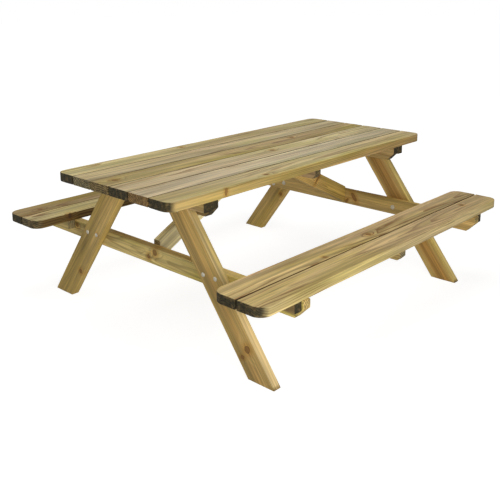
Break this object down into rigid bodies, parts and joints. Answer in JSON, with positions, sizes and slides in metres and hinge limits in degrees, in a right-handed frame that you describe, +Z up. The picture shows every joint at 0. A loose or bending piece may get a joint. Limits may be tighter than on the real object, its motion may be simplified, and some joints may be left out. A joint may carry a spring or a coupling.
{
  "type": "picnic table",
  "caption": "A-frame picnic table with fixed benches, planed softwood boards with rounded corners, splayed legs, bolted rails and diagonal braces.",
  "frame": {"origin": "on the ground at the middle of the table", "axes": "+X along the boards towards the right end, +Y across the table towards the rear bench, +Z up"},
  "size_m": [1.8, 1.69, 0.706],
  "materials": {
    "top_timber": "planed pressure-treated softwood, pale straw with a faint green tint",
    "frame_timber": "planed pressure-treated softwood, olive tan with darker end grain",
    "cleat_timber": "sawn pressure-treated softwood, darker olive brown",
    "galvanised_steel": "hot-dip galvanised, dull silver",
    "screw_steel": "yellow zinc-plated"
  },
  "bodies": {
    "root": {"tabletop_board_1": "top_timber", "tabletop_board_2": "top_timber", "tabletop_board_3": "top_timber", "tabletop_board_4": "top_timber", "tabletop_board_5": "top_timber", "tabletop_board_6": "top_timber", "front_bench_outer_board": "top_timber", "front_bench_inner_board": "top_timber", "rear_bench_inner_board": "top_timber", "rear_bench_outer_board": "top_timber", "left_front_leg": "frame_timber", "left_rear_leg": "frame_timber", "right_front_leg": "frame_timber", "right_rear_leg": "frame_timber", "left_top_bearer": "frame_timber", "right_top_bearer": "frame_timber", "left_seat_rail": "frame_timber", "right_seat_rail": "frame_timber", "left_top_cleat": "cleat_timber", "middle_top_cleat": "cleat_timber", "right_top_cleat": "cleat_timber", "front_bench_left_cleat": "cleat_timber", "front_bench_middle_cleat": "cleat_timber", "front_bench_right_cleat": "cleat_timber", "rear_bench_left_cleat": "cleat_timber", "rear_bench_middle_cleat": "cleat_timber", "rear_bench_right_cleat": "cleat_timber", "left_brace": "frame_timber", "right_brace": "frame_timber", "frame_bolts": "galvanised_steel", "frame_washers": "galvanised_steel", "frame_nuts": "galvanised_steel", "tabletop_screws": "screw_steel", "bench_screws": "screw_steel", "frame_screws": "screw_steel", "brace_screws": "screw_steel"}
  },
  "joints": []
}
